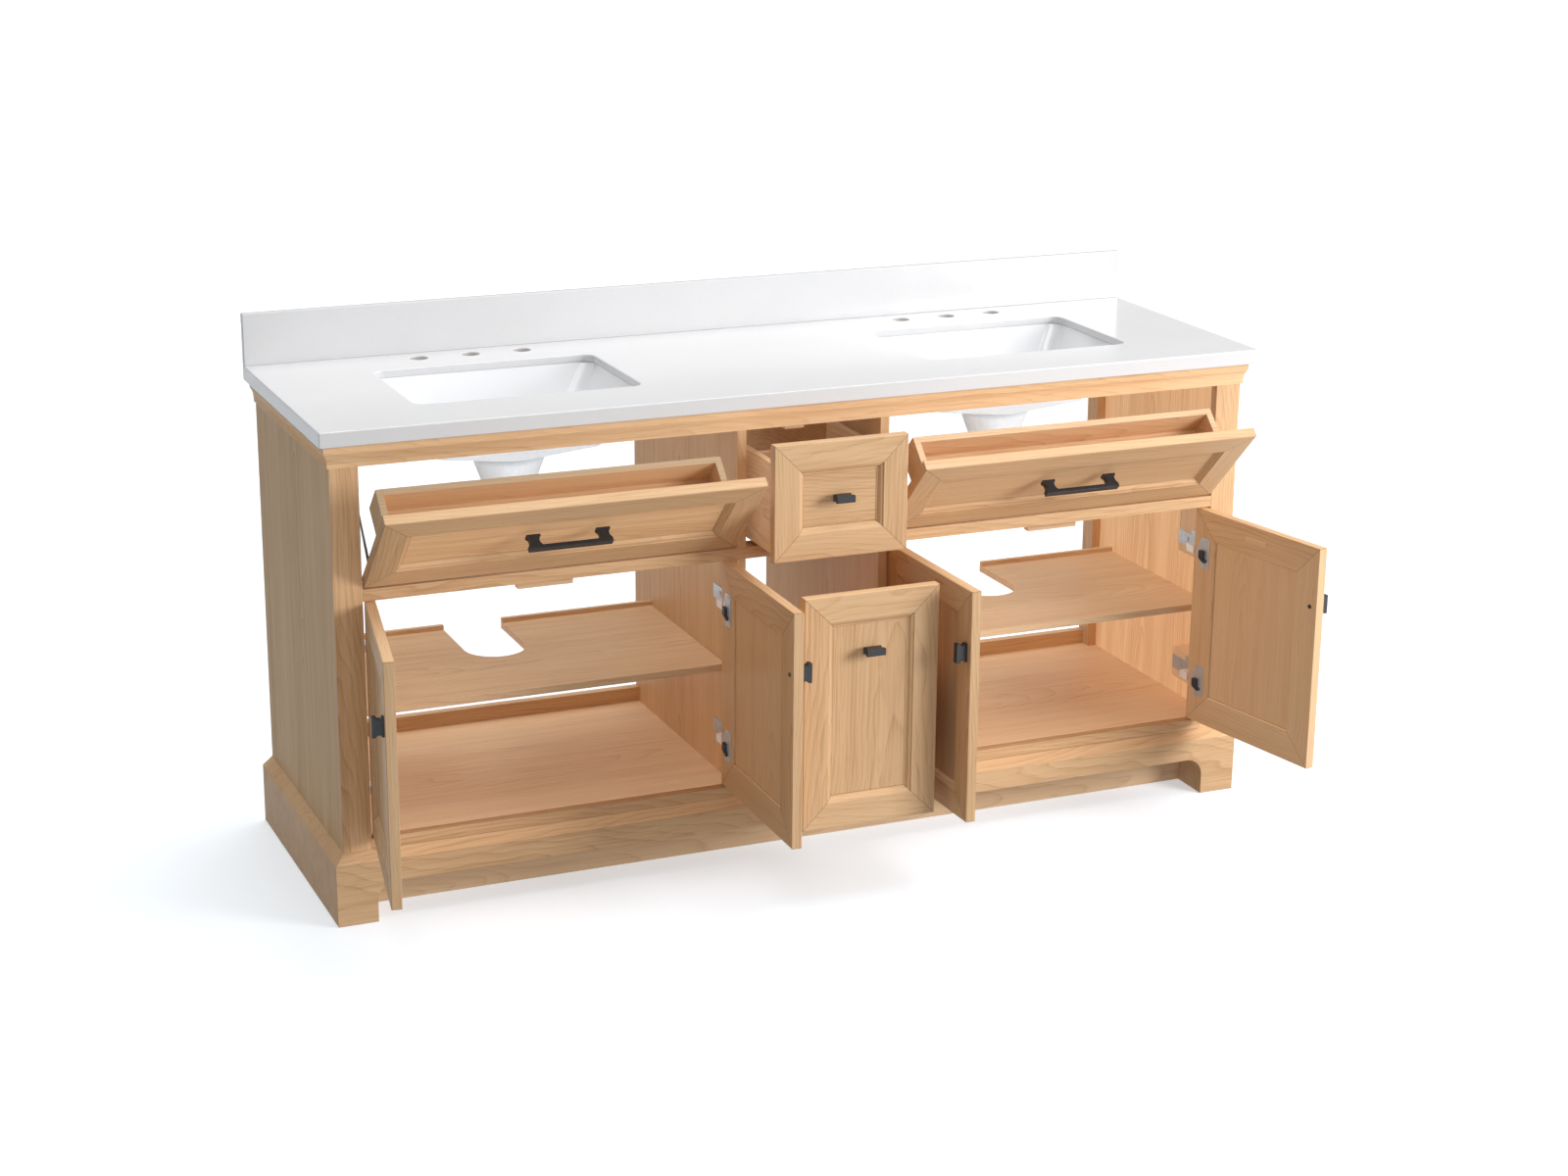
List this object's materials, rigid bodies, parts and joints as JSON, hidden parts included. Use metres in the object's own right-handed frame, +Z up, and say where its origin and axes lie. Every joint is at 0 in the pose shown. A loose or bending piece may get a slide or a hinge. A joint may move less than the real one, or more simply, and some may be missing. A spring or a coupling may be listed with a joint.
{
  "type": "bathroom vanity cabinet",
  "caption": "Freestanding double-basin vanity: stone top, undermount basins, framed doors, tilt-out trays and centre drawers on a footed base.",
  "frame": {"origin": "middle of the footprint with the doors, trays and drawers open as pictured, on the floor", "axes": "+X to the right along the front seen from the front, +Y back towards the wall, +Z up"},
  "size_m": [1.8556, 0.872, 1.007],
  "materials": {
    "stone": "polished white quartz with slightly eased edges",
    "ceramic": "glossy white glaze",
    "oak_frame": "satin clear-lacquered oak, straight grain",
    "oak_panel": "satin clear-lacquered oak, figured grain",
    "oak_inside": "satin clear-lacquered oak, inside of the cabinet",
    "black_metal": "matt black powder coat",
    "hardware_steel": "nickel-plated steel"
  },
  "bodies": {
    "cabinet": {"countertop": "stone", "backsplash": "stone", "sink_left": "ceramic", "sink_right": "ceramic", "side_panel_left": "oak_panel", "side_panel_right": "oak_panel", "divider_left": "oak_inside", "divider_right": "oak_inside", "face_stiles": "oak_frame", "face_rails": "oak_frame", "crown_moulding": "oak_frame", "base_skirting": "oak_frame", "foot_blocks": "oak_inside", "toe_board": "oak_inside", "floor_panel": "oak_inside", "back_frame": "oak_inside", "centre_back_panel": "oak_inside", "shelf_left": "oak_inside", "shelf_right": "oak_inside", "shelf_pins": "hardware_steel", "hinge_arms": "hardware_steel", "stay_guides": "hardware_steel", "packers_and_stops": "oak_inside", "runner_channels": "hardware_steel"},
    "door_left_outer": {"door_left_outer_frame": "oak_frame", "door_left_outer_panel": "oak_panel", "door_left_outer_knob": "black_metal", "door_left_outer_hinge_cups": "hardware_steel"},
    "door_left_inner": {"door_left_inner_frame": "oak_frame", "door_left_inner_panel": "oak_panel", "door_left_inner_knob": "black_metal", "door_left_inner_hinge_cups": "hardware_steel"},
    "door_right_inner": {"door_right_inner_frame": "oak_frame", "door_right_inner_panel": "oak_panel", "door_right_inner_knob": "black_metal", "door_right_inner_hinge_cups": "hardware_steel"},
    "door_right_outer": {"door_right_outer_frame": "oak_frame", "door_right_outer_panel": "oak_panel", "door_right_outer_knob": "black_metal", "door_right_outer_hinge_cups": "hardware_steel"},
    "tray_left": {"tray_left_front_frame": "oak_frame", "tray_left_front_panel": "oak_panel", "tray_left_box": "oak_inside", "tray_left_pull": "black_metal", "tray_left_stay": "hardware_steel"},
    "tray_right": {"tray_right_front_frame": "oak_frame", "tray_right_front_panel": "oak_panel", "tray_right_box": "oak_inside", "tray_right_pull": "black_metal", "tray_right_stay": "hardware_steel"},
    "drawer_top": {"drawer_top_front_frame": "oak_frame", "drawer_top_front_panel": "oak_panel", "drawer_top_box": "oak_inside", "drawer_top_knob": "black_metal", "drawer_top_slides": "hardware_steel"},
    "drawer_bottom": {"drawer_bottom_front_frame": "oak_frame", "drawer_bottom_front_panel": "oak_panel", "drawer_bottom_box": "oak_inside", "drawer_bottom_knob": "black_metal", "drawer_bottom_slides": "hardware_steel"}
  },
  "joints": [
    {"name": "door_left_outer_hinge", "type": "hinge", "parent": "cabinet", "child": "door_left_outer", "pos_m": [-0.8432, -0.097, 0.3727], "axis": [0, 0, 1], "range_deg": [-10, 100.2]},
    {"name": "door_left_inner_hinge", "type": "hinge", "parent": "cabinet", "child": "door_left_inner", "pos_m": [-0.1625, -0.097, 0.3727], "axis": [0, 0, 1], "range_deg": [-89.1, 0]},
    {"name": "door_right_inner_hinge", "type": "hinge", "parent": "cabinet", "child": "door_right_inner", "pos_m": [0.1625, -0.097, 0.3727], "axis": [0, 0, 1], "range_deg": [0, 89.1]},
    {"name": "door_right_outer_hinge", "type": "hinge", "parent": "cabinet", "child": "door_right_outer", "pos_m": [0.8432, -0.097, 0.3727], "axis": [0, 0, 1], "range_deg": [-100.2, 10]},
    {"name": "tray_left_tilt", "type": "hinge", "parent": "cabinet", "child": "tray_left", "pos_m": [-0.50285, -0.103, 0.6185], "axis": [1, 0, 0], "range_deg": [-45, 0]},
    {"name": "tray_right_tilt", "type": "hinge", "parent": "cabinet", "child": "tray_right", "pos_m": [0.50285, -0.103, 0.6185], "axis": [1, 0, 0], "range_deg": [-45, 0]},
    {"name": "drawer_top_slide", "type": "slide", "parent": "cabinet", "child": "drawer_top", "axis": [0, -1, 0], "range_m": [-0.126, 0.01]},
    {"name": "drawer_bottom_slide", "type": "slide", "parent": "cabinet", "child": "drawer_bottom", "axis": [0, -1, 0], "range_m": [-0.265, 0.085]}
  ]
}
